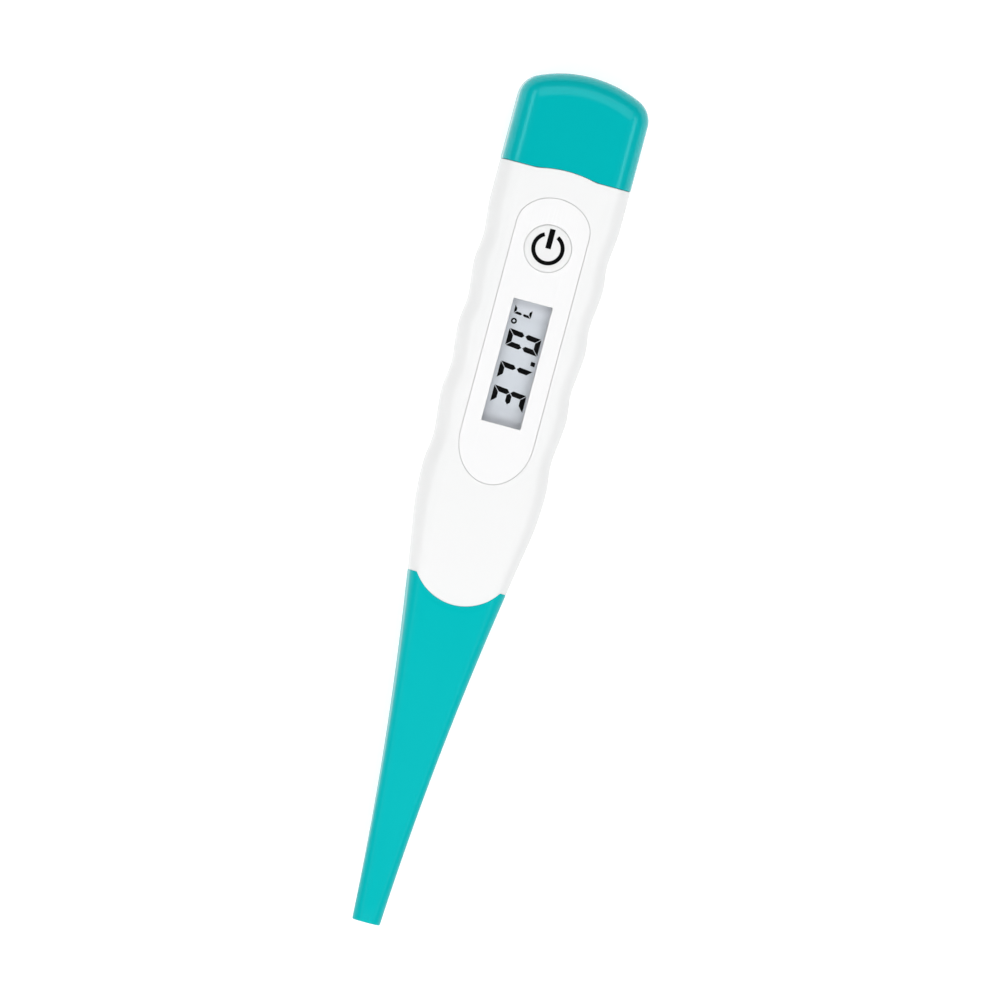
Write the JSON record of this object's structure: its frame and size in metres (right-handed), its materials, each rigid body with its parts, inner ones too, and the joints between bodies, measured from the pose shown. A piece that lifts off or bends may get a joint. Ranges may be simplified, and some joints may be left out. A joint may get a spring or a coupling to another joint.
{
  "type": "digital thermometer",
  "caption": "Flexible-tip digital clinical thermometer with a wavy-edged housing, an inlaid display and button, and a pull-off battery cap.",
  "frame": {"origin": "under the middle of the length, on the surface that the back lies on", "axes": "+X along the body from the sensing tip to the battery cap, +Y towards the tops of the display's digits, +Z out of the display"},
  "size_m": [0.125, 0.019, 0.0122],
  "materials": {
    "white_abs": "moulded ABS, softly polished, white",
    "panel_film": "moulded panel, satin, a shade off the housing's white",
    "button_abs": "moulded button, satin white",
    "clear_acrylic": "clear moulded acrylic window",
    "teal_abs": "moulded ABS, satin teal",
    "teal_elastomer": "moulded thermoplastic elastomer, soft satin teal",
    "black_silicone": "silicone seal",
    "wire_insulation": "soft insulation on fine stranded wire",
    "brass_plate": "stamped brass disc",
    "piezo_ceramic": "fired ceramic with a silvered face",
    "black_ink": "printed black mark",
    "carrier_abs": "moulded ABS tray, off-white",
    "board_laminate": "glass laminate with green solder mask",
    "display_glass": "cut glass of the display",
    "display_grey": "rear glass with its grey polarising film",
    "crystal_black": "liquid crystal, switched dark",
    "reflector_foil": "silvered foil",
    "striped_silicone": "silicone striped with carbon",
    "black_epoxy": "cast epoxy over a bare chip",
    "chip_ceramic": "small ceramic parts",
    "stainless_spring": "rolled spring steel",
    "solder": "reflowed solder",
    "cell_steel": "nickel-plated drawn steel",
    "cell_nylon": "moulded nylon seal",
    "cup_steel": "drawn stainless steel",
    "bead_glass": "glass bead round the sensor",
    "clear_epoxy": "cured resin"
  },
  "bodies": {
    "root": {"front_housing": "white_abs", "rear_housing": "white_abs", "face_panel": "panel_film", "display_lens": "clear_acrylic", "cap_seal": "black_silicone", "buzzer_plate": "brass_plate", "buzzer_ceramic": "piezo_ceramic", "sleeve_base": "teal_elastomer", "sensor_wires": "wire_insulation"},
    "button": {"power_button": "button_abs", "power_mark": "black_ink"},
    "cap": {"battery_cap": "teal_abs"},
    "carrier": {"board_carrier": "carrier_abs", "circuit_board": "board_laminate", "display_bezel": "carrier_abs", "display_front_glass": "display_glass", "display_segments": "crystal_black", "display_rear_glass": "display_grey", "display_reflector": "reflector_foil", "conducting_strips": "striped_silicone", "chip_blob": "black_epoxy", "board_chips": "chip_ceramic", "switch_dome": "stainless_spring", "solder_joints": "solder", "contact_positive": "stainless_spring", "contact_negative": "stainless_spring", "buzzer_springs": "stainless_spring"},
    "cell": {"cell_can": "cell_steel", "cell_seal": "cell_nylon", "cell_cover": "cell_steel"},
    "link_1": {"sleeve_link_1": "teal_elastomer", "wires_link_1": "wire_insulation"},
    "link_2": {"sleeve_link_2": "teal_elastomer", "wires_link_2": "wire_insulation"},
    "link_3": {"sleeve_link_3": "teal_elastomer", "wires_link_3": "wire_insulation"},
    "tip": {"sleeve_tip": "teal_elastomer", "wires_tip": "wire_insulation", "sensor_cup": "cup_steel", "sensor_bead": "bead_glass", "tip_filling": "clear_epoxy"}
  },
  "joints": [
    {"name": "button_press", "type": "slide", "parent": "root", "child": "button", "axis": [0, 0, -1], "range_m": [0, 0.0005], "stiffness_N_per_m": 600},
    {"name": "cap_pull", "type": "slide", "parent": "root", "child": "cap", "axis": [1, 0, 0], "range_m": [0, 0.03]},
    {"name": "carrier_slide", "type": "slide", "parent": "root", "child": "carrier", "axis": [1, 0, 0], "range_m": [0, 0.0045], "deforming": ["sensor_wires"]},
    {"name": "cell_removal", "type": "slide", "parent": "carrier", "child": "cell", "axis": [1, 0, 0], "range_m": [0, 0.0095]},
    {"name": "flex_up_1", "type": "hinge", "parent": "root", "child": "link_1", "pos_m": [-0.0285, 0, 0.006], "axis": [0, 1, 0], "range_deg": [-4, 25], "stiffness_Nm_per_rad": 0.012},
    {"name": "flex_side_1", "type": "hinge", "parent": "link_1", "child": "link_2", "pos_m": [-0.0355, 0, 0.006], "axis": [0, 0, 1], "range_deg": [-25, 25], "stiffness_Nm_per_rad": 0.012},
    {"name": "flex_up_2", "type": "hinge", "parent": "link_2", "child": "link_3", "pos_m": [-0.0425, 0, 0.006], "axis": [0, 1, 0], "range_deg": [-4, 25], "stiffness_Nm_per_rad": 0.012},
    {"name": "flex_side_2", "type": "hinge", "parent": "link_3", "child": "tip", "pos_m": [-0.0495, 0, 0.006], "axis": [0, 0, 1], "range_deg": [-25, 25], "stiffness_Nm_per_rad": 0.012}
  ],
  "couplings": [
    {"joint": "carrier_slide", "follows": "cap_pull", "ratio": 0.15},
    {"joint": "cell_removal", "follows": "cap_pull", "ratio": 0.3166},
    {"joint": "flex_up_2", "follows": "flex_up_1", "ratio": 1},
    {"joint": "flex_side_2", "follows": "flex_side_1", "ratio": 1}
  ]
}
